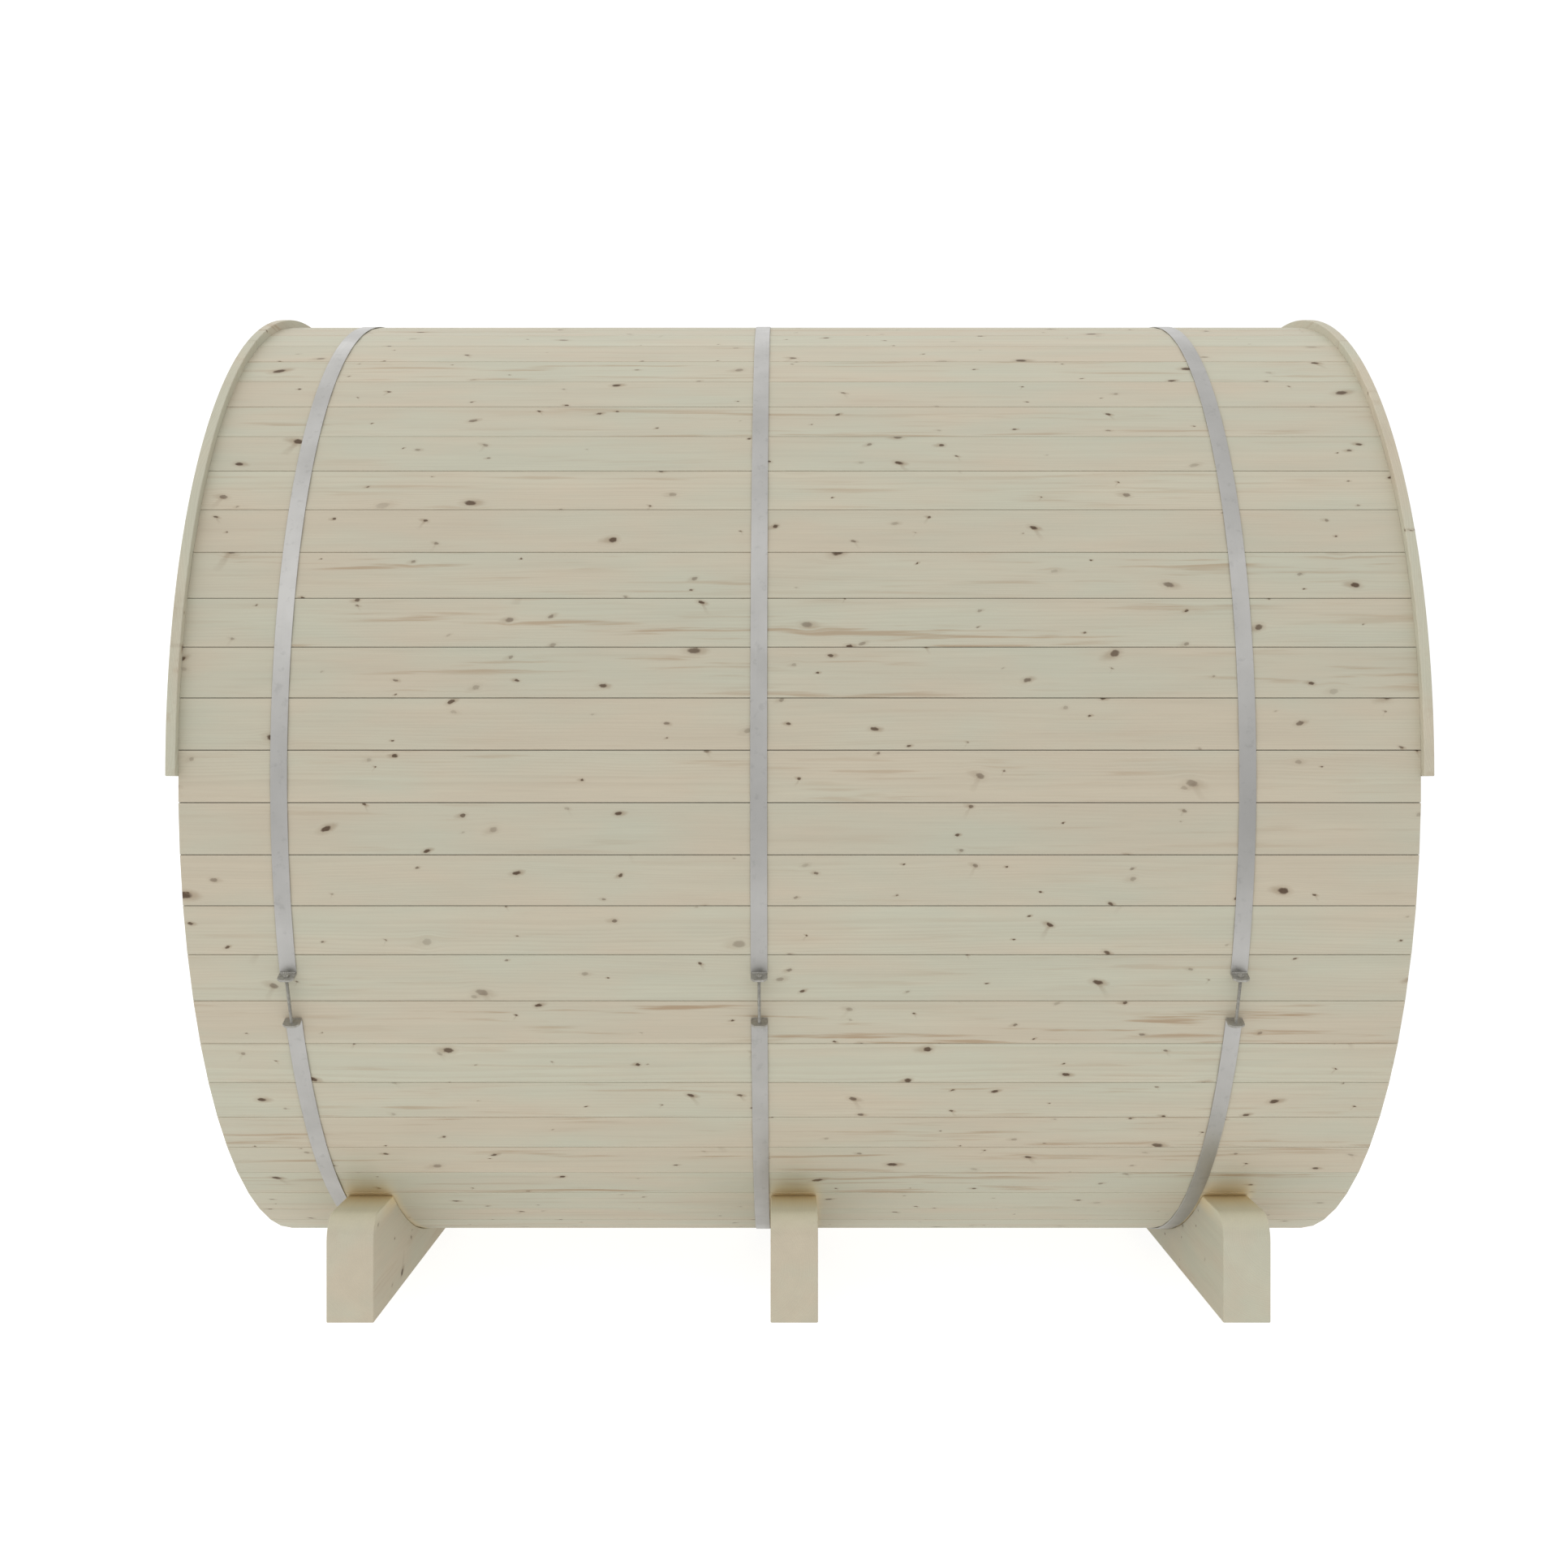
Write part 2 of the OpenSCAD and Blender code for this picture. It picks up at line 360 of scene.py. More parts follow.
KNOT_HALO = (0.34, 0.25, 0.16)
KNOT_SPIKE = (0.25, 0.17, 0.10)
KNOT_TAIL = (0.30, 0.22, 0.14)
HASH = 61.7                                 # draws a further random number from a given one

RING_WIDTH = 0.0034
RING_UNEVEN = 2.4                           # in rings
RING_WANDER = 0.011
BEND_AT_KNOT, BEND_FADE = 0.85, 0.22
RING_TONE = (0.04, 0.17)
STREAK_TONE = (0.10, 0.85)
WARM_SHIFT = (1.030, 0.970, 0.935)
GREEN_SHIFT = (0.975, 1.006, 0.990)
END_FACING = (0.75, 0.92)                   # cosines between which a face goes over to an end
SIDE_FACING = (0.90, 0.97)


def knots(g, u, v, fine, kind, share):
    """Knots strewn over a board's face. Returns the distance across the board from the nearest
    one in metres, its distance in knot radii, masks of a brown tail beside it and of a spike
    running out of it, and how dark it is."""
    at = g.combine(*(g.math("DIVIDE", place, size) for place, size in zip((u, v), kind.cell)))
    spot = g.node(
        "ShaderNodeTexVoronoi",
        {"Vector": at, "Scale": 1.0, "Randomness": KNOT_SPREAD},
        voronoi_dimensions="2D",
    )
    off = g.separate(g.vector("SUBTRACT", at, spot.outputs["Position"]))
    chance, size, shade = g.node("ShaderNodeSeparateColor", {0: spot.outputs["Color"]}).outputs
    du, dv = (
        g.math("MULTIPLY_ADD", g.math("SUBTRACT", fine[i], 0.5), ragged, g.times(off[i], kind.cell[i]))
        for i, ragged in enumerate(KNOT_RAGGED)
    )
    there = g.math("LESS_THAN", chance, share)
    radius = g.remap(g.math("POWER", size, 2.0), 0.0, 1.0, kind.smallest, kind.largest)
    radius = g.math("MULTIPLY_ADD", radius, there, 1e-6)
    second, third = (g.math("FRACT", g.times(part, HASH)) for part in (size, shade))
    side = g.math("SIGN", g.math("SUBTRACT", second, 0.5))

    p, q = turned(g, du, dv, g.times(g.math("SUBTRACT", third, 0.5), KNOT_LEAN))
    long = g.remap(second, 0.0, 1.0, *KNOT_LONG)
    far = g.math("DIVIDE", g.length(g.math("DIVIDE", p, long), q), radius)
    shifted = g.math("SUBTRACT", g.times(p, side), g.times(radius, KNOT_TAIL_AT))
    tail = g.math("DIVIDE", g.length(g.math("DIVIDE", shifted, KNOT_TAIL_LONG), q), radius)
    tail = g.remap(tail, 0.3, 1.7, 1.0, 0.0, smooth=True)

    p, q = turned(g, du, dv, g.times(side, g.remap(third, 0.0, 1.0, *KNOT_SPIKE_STEEP)))
    run = g.math("DIVIDE", g.times(p, side), g.times(radius, KNOT_SPIKE_LONG))
    wide = g.times(radius, g.remap(run, 0.0, 1.0, 0.8, 1.7))
    spike = g.remap(g.math("ABSOLUTE", g.math("DIVIDE", q, wide)), 0.2, 1.1, 1.0, 0.0, smooth=True)
    ahead = g.math("GREATER_THAN", run, 0.0)
    has_spike = g.math("GREATER_THAN", third, KNOT_NO_SPIKE)
    spike = g.times(spike, g.remap(run, 0.0, 1.0, 1.0, 0.0), ahead, has_spike)
    dark = g.remap(shade, 0.05, 0.65, 0.22, kind.dark)
    return dv, g.math("MINIMUM", far, 50.0), tail, spike, dark


def turned(g, a, b, angle):
    """A flat point turned by an angle."""
    sin, cos = g.math("SINE", angle), g.math("COSINE", angle)
    return (
        g.math("ADD", g.times(a, cos), g.times(b, sin)),
        g.math("SUBTRACT", g.times(b, cos), g.times(a, sin)),
    )


def wood(name, light, late, streak, knot_share, end_shade=0.9, painted_side_light_and_shade=None, painted_shade=None):
    """Sawn softwood: rings of a log cut by the board, short streaks, fibres and small knots.
    The side light and shade, where given, paints light and shade on a board's sides. The painted
    shade, where given, gives a mask and the warm tint painted where timbers touch and shade falls."""
    material, g = material_graph(name)
    along, across = g.attribute("grain_along"), g.attribute("grain_across")
    tone = g.separate(g.attribute("grain_tone"))
    from_pith = g.vector("SUBTRACT", g.place(), g.attribute("grain_at"))
    u = g.vector("DOT_PRODUCT", from_pith, along)
    v = g.vector("DOT_PRODUCT", from_pith, across)
    w = g.vector("DOT_PRODUCT", from_pith, g.vector("CROSS_PRODUCT", along, across))

    def scaled(a, b, c, v_used=v):
        """The point in the board with its three directions scaled."""
        return g.combine(g.times(u, a), g.times(v_used, b), g.times(w, c))

    ragged = g.node(
        "ShaderNodeTexNoise",
        {"Vector": scaled(1.0, 1.3, 1.3), "Scale": 130.0, "Detail": 2.0, "Roughness": 0.6},
    )
    fine = g.node("ShaderNodeSeparateColor", {0: ragged.outputs["Color"]}).outputs
    big = knots(g, u, v, fine, BIG_KNOTS, knot_share)
    small = knots(g, u, v, fine, SMALL_KNOTS, knot_share)

    # Rings bulge round the big knots and wander along the board.
    from_knot, in_radii = big[:2]
    bend = g.math("EXPONENT", g.times(g.math("POWER", in_radii, 2.0), -BEND_FADE))
    v_bent = g.math("SUBTRACT", v, g.times(from_knot, bend, BEND_AT_KNOT))
    wander = g.remap(g.noise(scaled(0.9, 4.0, 4.0), 1.0, 3.0), 0.3, 0.7, -RING_WANDER, RING_WANDER)
    radius = g.length(g.math("ADD", v_bent, wander), w)
    growth = g.noise(g.combine(g.times(radius, 90.0), 0.0), 1.0, 2.0)
    count = g.math("ADD", g.math("DIVIDE", radius, RING_WIDTH), g.times(growth, RING_UNEVEN))
    phase = g.math("FRACT", count)
    rise = g.remap(phase, 0.25, 0.92, smooth=True)
    fall = g.remap(phase, 0.92, 1.0, 1.0, 0.0, smooth=True)
    ring = g.times(rise, fall)

    # Short resin streaks gather on parts of a board, with fine fibres and broad soft clouds.
    streaks = g.remap(g.noise(scaled(4.5, 95.0, 30.0, v_bent), 1.0, 3.0, 0.5), 0.52, 0.68, smooth=True)
    bands = g.remap(g.noise(scaled(1.3, 24.0, 9.0), 1.0, 2.0), 0.46, 0.64, smooth=True)
    streaks = g.times(streaks, g.math("MULTIPLY_ADD", bands, 0.85, 0.15))
    fibre = g.noise(scaled(9.0, 420.0, 420.0, v_bent), 1.0, 3.0, 0.6)
    cloud = g.noise(scaled(3.4, 11.0, 11.0), 1.0, 3.0)
    other_cloud = g.noise(scaled(2.0, 17.0, 17.0), 1.7, 2.0)

    # Streaks and knots stay off a sawn end.
    normal = g.node("ShaderNodeNewGeometry").outputs["True Normal"]
    end = g.math("ABSOLUTE", g.vector("DOT_PRODUCT", normal, along))
    end = g.remap(end, *END_FACING, smooth=True)
    face = g.math("SUBTRACT", 1.0, end)

    warm, green = (
        tuple(c * k for c, k in zip(light, shift)) for shift in (WARM_SHIFT, GREEN_SHIFT)
    )
    hue = g.math("MULTIPLY_ADD", g.math("SUBTRACT", tone[1], 0.5), 0.22, cloud)
    colour = g.mix(g.remap(hue, 0.34, 0.66), green, warm)
    colour = g.mix(g.times(ring, g.remap(tone[0], 0.0, 1.0, *RING_TONE)), colour, late)
    strength = g.remap(g.math("POWER", tone[2], 1.6), 0.0, 1.0, *STREAK_TONE)
    colour = g.mix(g.times(streaks, strength, face), colour, streak)
    value = g.times(
        g.remap(fibre, 0.3, 0.7, 0.972, 1.026),
        g.remap(other_cloud, 0.3, 0.7, 0.975, 1.02),
        g.remap(tone[0], 0.0, 1.0, 0.97, 1.02),
    )

    # On a sawn end the rings show as arcs, a little darker than the faces.
    end_ring = g.times(end, g.remap(ring, 0.0, 1.0, 0.55, 1.0))
    value = g.times(value, g.remap(end_ring, 0.0, 1.0, 1.0, end_shade))
    # Painted light near the surface of a joint and painted shade deeper in it, on the boards' sides.
    if painted_side_light_and_shade:
        sideways = g.math("ABSOLUTE", g.vector("DOT_PRODUCT", normal, across))
        shade = g.times(g.remap(sideways, *SIDE_FACING), g.math("SUBTRACT", painted_side_light_and_shade(g), 1.0))
        value = g.times(value, g.math("ADD", shade, 1.0))

    for _, far, tail, spike, dark in (big, small):
        dark = g.times(dark, face)
        colour = g.mix(g.times(spike, dark, KNOT_MARK), colour, KNOT_SPIKE)
        colour = g.mix(g.times(tail, dark, KNOT_MARK), colour, KNOT_TAIL)
        colour = g.mix(g.times(g.remap(far, 0.9, 2.3, 0.30, 0.0, smooth=True), dark), colour, KNOT_HALO)
        colour = g.mix(g.times(g.remap(far, 0.60, 1.10, 1.0, 0.0, smooth=True), dark), colour, KNOT_CORE)

    # Painted warm shade where the timbers touch, mixed over the wood's own colour.
    if painted_shade:
        mask, tint = painted_shade(g)
        colour = g.mix(mask, colour, tint)
    shaded = g.node("ShaderNodeVectorMath", {0: colour}, operation="SCALE")
    g.put(shaded.inputs["Scale"], value)
    g.put(g.shader.inputs["Base Color"], shaded.outputs[0])
    rough = g.remap(g.math("ADD", fibre, g.times(ring, -0.3)), 0.0, 0.8, 0.58, 0.76)
    g.put(g.shader.inputs["Roughness"], rough)
    g.shader.inputs["Specular IOR Level"].default_value = 0.3
    relief = g.math("ADD", g.times(ring, 0.35), g.times(fibre, 0.8))
    knot_rise = g.remap(in_radii, 0.6, 1.4, 0.9, 0.0, smooth=True)
    g.bump(g.math("ADD", relief, g.times(knot_rise, face)), 0.00018, 0.6)
    return material


JOINT_PAINTED_LIGHT_DEPTH, JOINT_PAINTED_SHADE_DEPTH = 0.0014, 0.0036   # depths in a joint between the staves: painted light down to the first, painted shade from the second
PAINTED_LIGHT_IN_JOINT, PAINTED_SHADE_IN_JOINT = 1.3, 0.15                    # brightness there: painted light beside the stave's face, painted shade deeper in the joint


def painted_joint_light_and_shade(g):
    """How bright a stave's side is painted: painted light near the surface, painted shade deeper in the
    joint.
    """
    _, y, z = g.separate(g.place())
    edge = BARREL_R / math.cos(HALF_PITCH)
    out = g.length(y, g.math("SUBTRACT", z, AXIS_Z))
    return g.remap(out, edge - JOINT_PAINTED_SHADE_DEPTH, edge - JOINT_PAINTED_LIGHT_DEPTH, PAINTED_SHADE_IN_JOINT, PAINTED_LIGHT_IN_JOINT)


CONTACT_SHADE_STRENGTH = 0.85                                # strength of the painted warm shade where barrel and cradle meet
CONTACT_SHADE_HALF_WIDTHS = (0.030, 0.064)          # from a cradle's middle: full, and gone
CONTACT_SHADE_UP = 0.065                            # reach above a cradle's top
CONTACT_SHADE_DOWN = (0.032, 0.004)                 # below its top: gone, and full
CONTACT_SHADE_PALES = 0.12                          # across the barrel, from where the two meet


def painted_shade_over_cradles(g):
    """The painted warm shade on the barrel just above each cradle, where the cradle shades it."""
    x, _, z = g.separate(g.place())
    top = span("cradle_middle", 2)[1]
    mask = 0.0
    for place in PLACES:
        low, high = span(f"cradle_{place}", 0)
        aside = g.math("ABSOLUTE", g.math("SUBTRACT", x, (low + high) / 2))
        mask = g.math("ADD", g.remap(aside, *CONTACT_SHADE_HALF_WIDTHS, 1.0, 0.0, smooth=True), mask)
    near = g.math("POWER", g.remap(z, top, top + CONTACT_SHADE_UP, 1.0, 0.0), 2.0)
    return g.times(mask, near, CONTACT_SHADE_STRENGTH), PAINTED_WARM_SHADE


def painted_shade_on_cradles(g):
    """The same painted warm shade on a cradle's top beside the barrel, going over to painted light towards
    the rounded corner.
    """
    _, y, z = g.separate(g.place())
    top = span("cradle_middle", 2)[1]
    meet = math.sqrt(BARREL_R ** 2 - (AXIS_Z - top) ** 2)
    away = g.remap(g.math("ABSOLUTE", y), meet, meet + CONTACT_SHADE_PALES)
    gone, full = (top - depth for depth in CONTACT_SHADE_DOWN)
    return g.remap(z, gone, full, 0.0, CONTACT_SHADE_STRENGTH), g.mix(away, PAINTED_WARM_SHADE, PAINTED_CORNER_LIGHT)


def rolled_steel(name, colour, tarnish, roughness, lines):
    """Steel strip: fine rolling lines round the barrel, soft clouds and a little tarnish."""
    material, g = material_graph(name)
    x, y, z = g.separate(g.place())
    angle = g.math("ARCTAN2", g.math("SUBTRACT", z, AXIS_Z), y)
    line = g.noise(g.combine(g.times(x, 1400.0), g.times(angle, 5.0)), 1.0, 3.0, 0.6)
    cloud = g.noise(g.place(), 7.0, 4.0, 0.55)
    spots = g.remap(g.noise(g.place(), 60.0, 3.0, 0.6), 0.56, 0.72, smooth=True)
    base = g.mix(g.remap(cloud, 0.35, 0.7), colour, tarnish)
    base = g.mix(g.times(spots, 0.22), base, tuple(0.6 * c for c in tarnish))
    g.put(g.shader.inputs["Base Color"], base)
    g.shader.inputs["Metallic"].default_value = 1.0
    rough = g.math("ADD", g.remap(cloud, 0.3, 0.7, -0.05, 0.07), g.remap(line, 0.3, 0.7, -lines, lines))
    g.put(g.shader.inputs["Roughness"], g.math("ADD", rough, roughness))
    g.bump(line, 0.00002, 0.4)
    return material


def plated_steel(name, colour, dark, roughness):
    """Zinc-plated fittings: mottled grey, duller in patches."""
    material, g = material_graph(name)
    mottle = g.noise(g.place(), 170.0, 4.0, 0.6)
    cloud = g.noise(g.place(), 35.0, 3.0, 0.5)
    base = g.mix(g.remap(mottle, 0.35, 0.68), colour, dark)
    g.put(g.shader.inputs["Base Color"], base)
    g.shader.inputs["Metallic"].default_value = 1.0
    g.put(g.shader.inputs["Roughness"], g.remap(cloud, 0.3, 0.7, roughness - 0.09, roughness + 0.1))
    g.bump(mottle, 0.00006, 0.5)
    return material


SPRUCE = (0.553, 0.523, 0.420)
# The warm tint of painted shade where barrel and cradles touch.
PAINTED_WARM_SHADE = (0.78, 0.62, 0.345)
# Painted light towards a cradle's rounded corner.
PAINTED_CORNER_LIGHT = (0.66, 0.63, 0.48)
LATE = (0.375, 0.300, 0.205)
STREAK = (0.385, 0.270, 0.165)
ALDER = (0.440, 0.330, 0.210)
ALDER_LATE = (0.31, 0.215, 0.125)
ALDER_STREAK = (0.33, 0.23, 0.135)
STAVE_WOOD = wood("spruce_staves", SPRUCE, LATE, STREAK, 0.58, painted_side_light_and_shade=painted_joint_light_and_shade, painted_shade=painted_shade_over_cradles)
TRIM_WOOD = wood("spruce_trim", SPRUCE, LATE, STREAK, 0.35)
WALL_WOOD = wood("spruce_boards", SPRUCE, LATE, STREAK, 0.50)
DOOR_WOOD = wood("spruce_door", (0.553, 0.515, 0.412), LATE, STREAK, 0.35)
CRADLE_WOOD = wood("spruce_cradles", (0.543, 0.512, 0.408), LATE, STREAK, 0.45, 0.985, painted_shade=painted_shade_on_cradles)
HANDLE_WOOD = wood("alder_handle", ALDER, ALDER_LATE, ALDER_STREAK, 0.05)
HOOP_STEEL = rolled_steel("satin_strip", (0.500, 0.492, 0.475), (0.430, 0.423, 0.405), 0.42, 0.05)
DARK_STEEL = plated_steel("dull_zinc", (0.49, 0.48, 0.445), (0.37, 0.36, 0.325), 0.60)
SCREW_STEEL = plated_steel("screw_steel", (0.50, 0.49, 0.47), (0.36, 0.35, 0.33), 0.36)


# ---------------------------------------------------------------- staves

BEAD = 0.005                                # reach of the bead along a stave's edge
BEAD_HALF = 0.009
BEAD_DEPTH = 0.022                          # middle of the bead, below the outer face
STAVE_GAP = 0.0003
STAVE_EDGE = 0.0004
GROOVE = 0.0006                             # half the width of the open joint at the surface
GROOVE_DEPTH = 0.005
GROOVE_FLOOR = 0.001                        # how far below it the joint has closed
BEAD_STEPS = 8
CROZE_SLOPE = 0.0006                        # of the sides of the groove that holds an end wall
STAVE_SUNK = 0.0005                         # how far in the hoops may have pulled a stave
STAVE_SHORT = 0.0003


def stave_outline(inner):
    """A stave across the barrel as (sideways, outwards) from the axis: an open joint at the
    surface, a bead on one edge and a matching cove on the other, and its inner face."""
    sin, cos = math.sin(HALF_PITCH), math.cos(HALF_PITCH)
    edge = [(0.0, 0.0, GROOVE), (GROOVE_DEPTH, 0.0, GROOVE), (GROOVE_DEPTH + GROOVE_FLOOR, 0.0, 0.0)]
    for i in range(BEAD_STEPS + 1):
        across = -1 + 2 * i / BEAD_STEPS
        edge.append((BEAD_DEPTH + across * BEAD_HALF, BEAD * math.cos(across * math.pi / 2), 0.0))
    edge.append((BARREL_R - inner, 0.0, 0.0))
    right, left = [], []
    for depth, reach, inset in edge:
        along = (BARREL_R - depth) / cos
        bead = reach - inset - STAVE_GAP / 2
        right.append((along * sin + bead * cos, along * cos - bead * sin))
        cove = reach + inset + STAVE_GAP / 2
        left.append((-along * sin + cove * cos, along * cos + cove * sin))
    return left[::-1] + right


def stave(angle):
    """One stave centred at an angle round the barrel, with a groove at each end for the wall.
    Returns the solid and the direction across its face."""
    inward = rng.uniform(0.0, STAVE_SUNK)
    half = BARREL_HALF - rng.uniform(0.0, STAVE_SHORT)
    steps = [(-half, False)]
    for a, b in ((-WALL_OUT, -WALL_IN), (WALL_IN, WALL_OUT)):
        steps += [(a - CROZE_SLOPE, False), (a, True), (b, True), (b + CROZE_SLOPE, False)]
    steps.append((half, False))
    out = outwards(angle)
    side = X.cross(out)
    rings = []
    for x, grooved in steps:
        outline = stave_outline(WALL_R + CROZE_SLOPE if grooved else INNER_R)
        centre = from_axis(x, 0, 0)
        rings.append([centre - side * s + out * (h - inward) for s, h in outline])
    return loft(rings), side


def build_staves():
    for panel in range(PANELS):
        piece = Piece(f"staves_{panel + 1:02d}")
        for k in range(STAVES_PER_PANEL):
            angle = 2 * HALF_PITCH * (panel * STAVES_PER_PANEL + k)
            solid, side = stave(angle)
            piece.add_board(solid, X, side)
        piece.make(STAVE_WOOD, "stave_wood", [f"stave_panel_{panel + 1:02d}"], bevel=STAVE_EDGE)


# ---------------------------------------------------------------- end trims

SCREW_SUNK = 0.0004
SCREW_SIDES = 32
SCREW_HEAD = ((0.72, -0.0016), (1.0, -0.0003), (0.94, 0.0))    # (share of the radius, height)
SCREW_RECESS = ((0.55, 0.0), (0.42, -0.0011))
CROSS_ARM = 0.14                            # half the width of an arm of the recess, in quarters
CROSS_WAIST = 0.42
TRIM_EDGE = 0.0016
TRIM_SCREW_R = 0.0042
TRIM_SCREWS = 6                             # in each plank
TRIM_GAP = 0.0004
TRIM_STEPS = 33


def screw_head(piece, at, direction, radius):
    """A countersunk head, just below the surface, with a cross-shaped recess."""
    def cross(r, a):
        quarter = abs((a / (math.pi / 2) + 0.5) % 1 - 0.5)
        return r * (1.0 if quarter < CROSS_ARM else CROSS_WAIST)

    base = at - direction * SCREW_SUNK
    rings = []
    for profile, shape in ((SCREW_HEAD, None), (SCREW_RECESS, cross)):
        for share, height in profile:
            rings.append(lathe([(radius * share, height)], base, direction, SCREW_SIDES, shape)[0])
    piece.add(loft(rings))


def build_trims():
    for end, sign in ENDS.items():
        screws = Piece(f"{end}_trim_screws")
        low, high = mirrored(sign, BARREL_HALF, BARREL_HALF + TRIM_T)
        section = ((INNER_R, low), (TRIM_R, low), (TRIM_R, high), (INNER_R, high))
        for i in range(TRIM_ARCS):
            reach = math.pi / TRIM_ARCS
            gap = TRIM_GAP / TRIM_R
            start, stop = i * reach + gap, (i + 1) * reach - gap
            out = outwards((start + stop) / 2)
            piece = Piece(f"{end}_trim_plank_{i + 1}")
            piece.add_board(band(section, start, stop, TRIM_STEPS), X.cross(out), out)
            piece.make(TRIM_WOOD, "trim_wood", [f"{end}_trim_{i + 1}"], bevel=TRIM_EDGE, segments=3)
            for k in range(TRIM_SCREWS):
                a = start + (stop - start) * (k + 0.5) / TRIM_SCREWS
                at = round_axis((INNER_R + BARREL_R) / 2, a, sign * (BARREL_HALF + TRIM_T))
                screw_head(screws, at, X * sign, TRIM_SCREW_R)
        screws.make(SCREW_STEEL, "dark_steel")


# ---------------------------------------------------------------- end walls

BOARD_W = 0.0924
BOARD_GAP = 0.0005
BOARD_EDGE = 0.0024
BOARD_STEPS = 6                             # across a board whose end is curved
BOARDS_OVER_DOOR = 8
RIM = 0.9995                                # share of a wall's radius that its boards reach
SAME = 1e-6                                 # closer than this, two joints are one


def wall_board(y_low, y_high, z_low, z_high, x_low, x_high):
    """An upright board of an end wall, cut at both ends by z_low(y) and z_high(y)."""
    ys = [y_low + (y_high - y_low) * i / BOARD_STEPS for i in range(BOARD_STEPS + 1)]
    outline = [(y, z_low(y)) for y in ys] + [(y, z_high(y)) for y in reversed(ys)]
    return prism(outline, x_low, x_high, lambda y, z, x: from_axis(x, y, z))


def build_boards(name, node, y_low, y_high, z_low, z_high, x_low, x_high, width, start):
    """A run of upright boards from y_low to y_high, with joints at start and every width from it."""
    piece = Piece(name)
    edge = start + math.floor((y_low - start) / width + SAME) * width
    while edge < y_high - SAME:
        low, high = max(edge, y_low) + BOARD_GAP / 2, min(edge + width, y_high) - BOARD_GAP / 2
        piece.add_board(wall_board(low, high, z_low, z_high, x_low, x_high), Z, Y)
        edge += width
    piece.make(WALL_WOOD, "wall_wood", [node], bevel=BOARD_EDGE)


def build_walls():
    """Both end walls, of upright boards: the front one in four parts round the door."""
    rim = WALL_R * RIM

    def up(y):
        return math.sqrt(WALL_R ** 2 - y ** 2)

    def down(y):
        return -up(y)

    over = 2 * FRAME_Y / BOARDS_OVER_DOOR
    shapes = (
        ("front_boards_left", "front_wall_left", -rim, -FRAME_Y, down, up, BOARD_W, -FRAME_Y),
        ("front_boards_right", "front_wall_right", FRAME_Y, rim, down, up, BOARD_W, FRAME_Y),
        ("front_boards_over_door", "front_wall_over_door", -FRAME_Y, FRAME_Y,
         lambda y: FRAME_H, up, over, -FRAME_Y),
        ("front_boards_under_door", "front_wall_under_door", -FRAME_Y, FRAME_Y,
         down, lambda y: -FRAME_H, over, -FRAME_Y),
    )
    for name, node, y_low, y_high, z_low, z_high, width, start in shapes:
        build_boards(name, node, y_low, y_high, z_low, z_high, WALL_IN, WALL_OUT, width, start)
    build_boards("back_boards", "back_wall", -rim, rim, down, up, -WALL_OUT, -WALL_IN, BOARD_W, BOARD_W / 2)


# ---------------------------------------------------------------- door

LEAF_BOARDS = 7
LEAF_EDGE = 0.0022
FRAME_EDGE = 0.0020
LEDGE_T = 0.016
LEDGE_W = 0.110
LEDGE_IN = 0.03                             # from the sides of the leaf
LEDGE_ZS = (-0.62, 0.0, 0.62)
LEDGE_SCREWS = ((-0.022, 0.028), (0.022, -0.028))
LEDGE_SCREW_R = 0.0036
RAIL_GAP = 0.0003


def build_frame():
    """The door's frame, and the stop strips inside it."""
    piece, strips = Piece("door_frame_timbers"), Piece("door_stop_strips")
    in_y, in_h = LEAF_Y + LEAF_GAP, LEAF_H + LEAF_GAP
    runs = (
        (piece, FRAME_X, FRAME_Y - in_y, FRAME_Y, FRAME_H, in_y - RAIL_GAP, FRAME_H),
        (strips, span("door_stops", 0)[1], STOP_W, in_y, in_h, in_y - STOP_W, in_h),
    )
    for s in (-1, 1):
        for timbers, x, deep, y_out, upright_h, rail_y, z_out in runs:
            low, high = mirrored(s, y_out - deep, y_out)
            upright = block(from_axis(WALL_IN, low, -upright_h), from_axis(x, high, upright_h))
            timbers.add_board(upright, Z, Y)
            low, high = mirrored(s, z_out - deep, z_out)
            rail = block(from_axis(WALL_IN, -rail_y, low), from_axis(x, rail_y, high))
            timbers.add_board(rail, Y, Z)
    piece.make(DOOR_WOOD, "door_wood", ["door_frame"], bevel=FRAME_EDGE, segments=3)
    strips.make(DOOR_WOOD, "door_wood", ["door_stops"], bevel=FRAME_EDGE, segments=3)


def build_leaf():
    """The door's leaf: upright boards, screwed to three ledges on the inside."""
    piece = Piece("door_boards")
    screws = Piece("door_screws")
    width = 2 * LEAF_Y / LEAF_BOARDS
    for i in range(LEAF_BOARDS):
        low = -LEAF_Y + i * width + BOARD_GAP / 2
        high = low + width - BOARD_GAP
        board = block(from_axis(LEAF_IN + LEDGE_T, low, -LEAF_H), from_axis(FRAME_X, high, LEAF_H))
        piece.add_board(board, Z, Y)
        for z in LEDGE_ZS:
            behind_handle = z == 0.0 and i == 0
            for dy, dz in () if behind_handle else LEDGE_SCREWS:
                at = from_axis(FRAME_X, (low + high) / 2 + dy, z + dz)
                screw_head(screws, at, X, LEDGE_SCREW_R)
    for z in LEDGE_ZS:
        ledge = block(
            from_axis(LEAF_IN, -LEAF_Y + LEDGE_IN, z - LEDGE_W / 2),
            from_axis(LEAF_IN + LEDGE_T, LEAF_Y - LEDGE_IN, z + LEDGE_W / 2),
        )
        piece.add_board(ledge, Y, Z)
    piece.make(DOOR_WOOD, "door_wood", ["door_leaf"], bevel=LEAF_EDGE)
    screws.make(SCREW_STEEL, "dark_steel")


